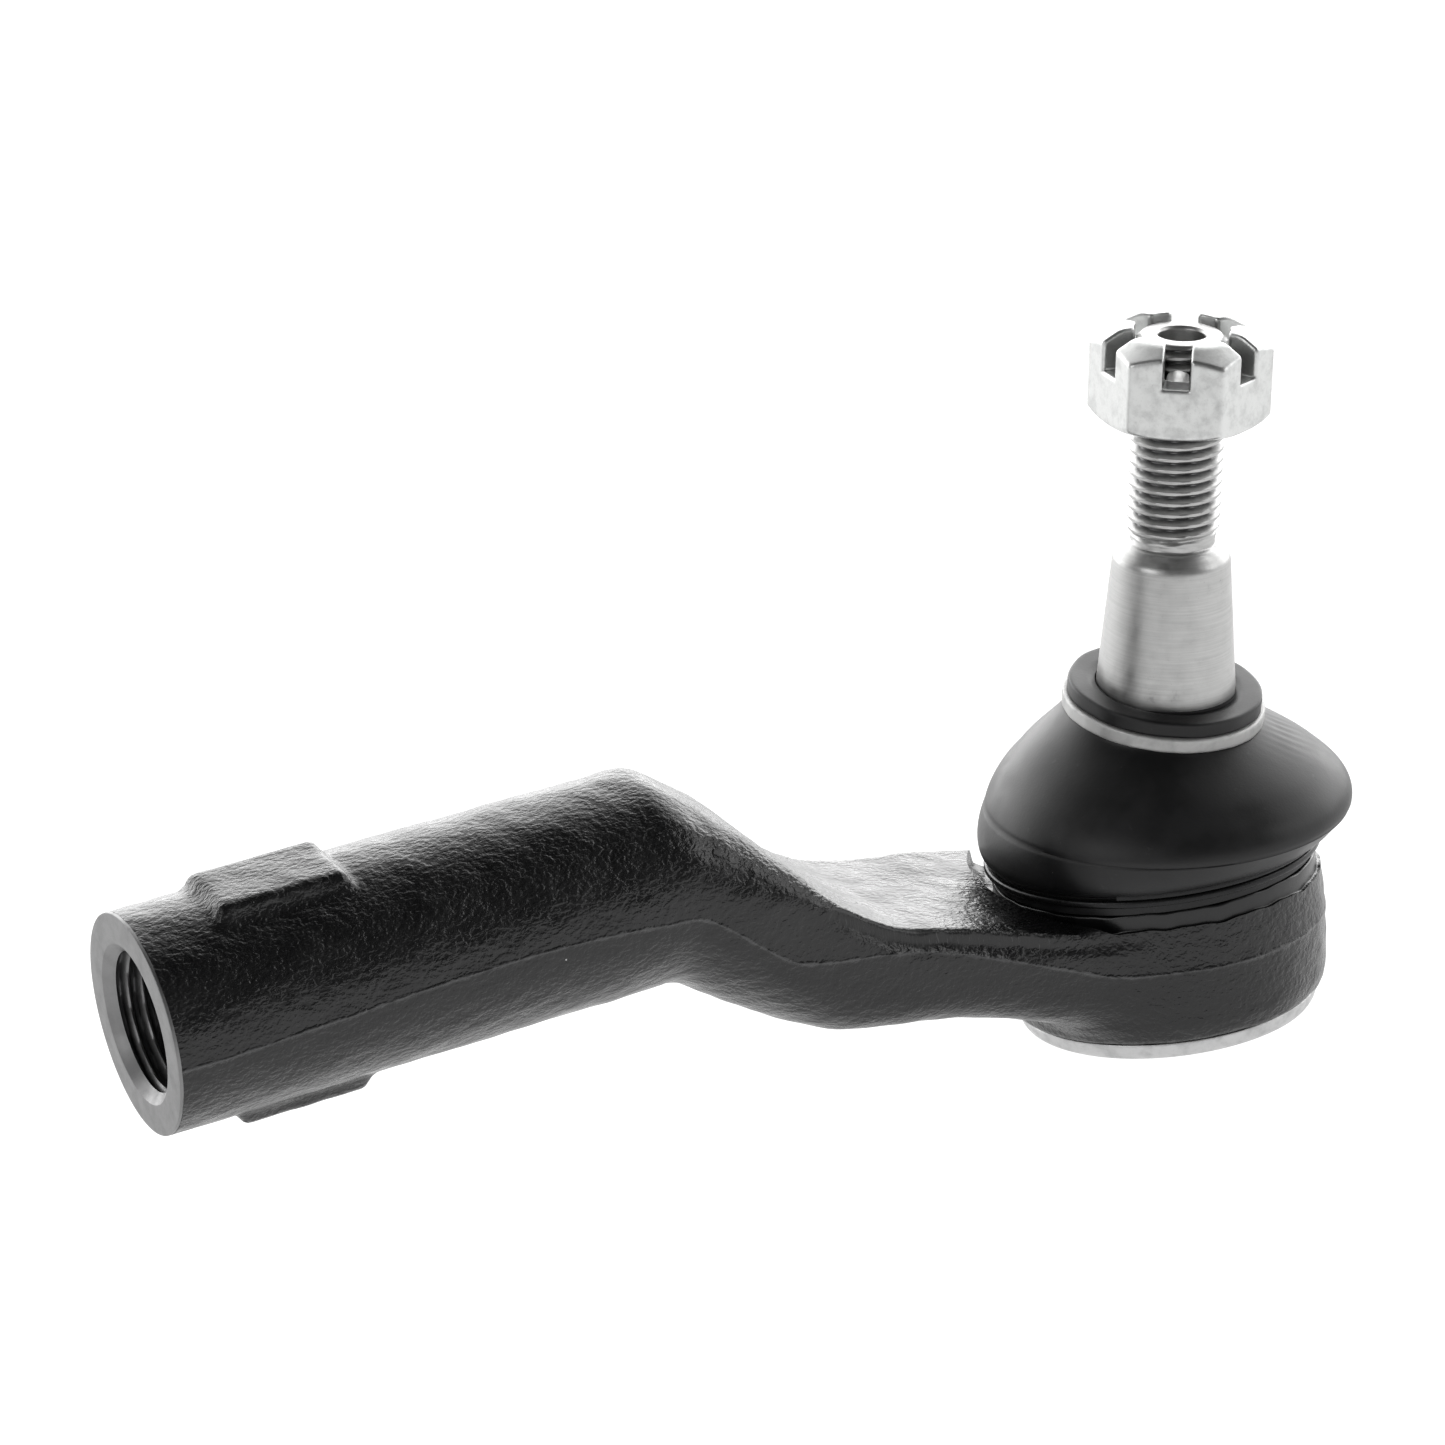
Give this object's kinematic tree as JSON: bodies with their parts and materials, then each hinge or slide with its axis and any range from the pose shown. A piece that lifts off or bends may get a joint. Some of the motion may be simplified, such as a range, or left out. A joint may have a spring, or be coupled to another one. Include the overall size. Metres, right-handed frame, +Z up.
{
  "type": "tie rod end",
  "caption": "Gooseneck steering tie rod end: a ball stud swivels in a forged eye on an internally threaded shank, under a rubber dust boot, with a slotted nut on its taper.",
  "frame": {"origin": "on the axis of the housing's eye, at the outer face of the cover plate under the ball", "axes": "+Z up the eye's axis towards the stud, -X along the shank towards its threaded mouth"},
  "size_m": [0.1402, 0.0419, 0.0794],
  "materials": {
    "coated_forging": "black electro-coated steel forging",
    "acetal": "moulded acetal",
    "spring_steel": "phosphated spring steel",
    "plated_cover": "zinc plated pressed steel",
    "turned_steel": "fine turned and rolled steel",
    "zinc_nut": "bright zinc plate",
    "boot_rubber": "moulded chloroprene rubber",
    "ring_steel": "bright rolled steel band",
    "black_wire": "blackened spring wire"
  },
  "bodies": {
    "housing": {"housing": "coated_forging", "bearing_seat": "acetal", "pressure_cup": "acetal", "preload_spring": "spring_steel", "cover_plate": "plated_cover"},
    "boot": {"dust_boot": "boot_rubber", "boot_lower_clip": "black_wire"},
    "collar": {"boot_upper_ring": "ring_steel"},
    "stud": {"ball_stud": "turned_steel"},
    "nut": {"slotted_nut": "zinc_nut"}
  },
  "joints": [
    {"name": "swing_direction", "type": "hinge", "parent": "housing", "child": "boot", "pos_m": [0, 0, 0.014], "axis": [0, 0, 1], "continuous": true},
    {"name": "stud_swing", "type": "hinge", "parent": "boot", "child": "collar", "pos_m": [0, 0, 0.014], "axis": [0.91, 0.4147, 0], "range_deg": [-34.9, 15.1], "deforming": ["dust_boot"]},
    {"name": "stud_spin", "type": "hinge", "parent": "collar", "child": "stud", "pos_m": [0, 0, 0.014], "axis": [0.0713, -0.1564, 0.9851], "continuous": true},
    {"name": "nut_travel", "type": "slide", "parent": "stud", "child": "nut", "axis": [0.0713, -0.1564, 0.9851], "range_m": [-0.0114, 0.012]}
  ]
}
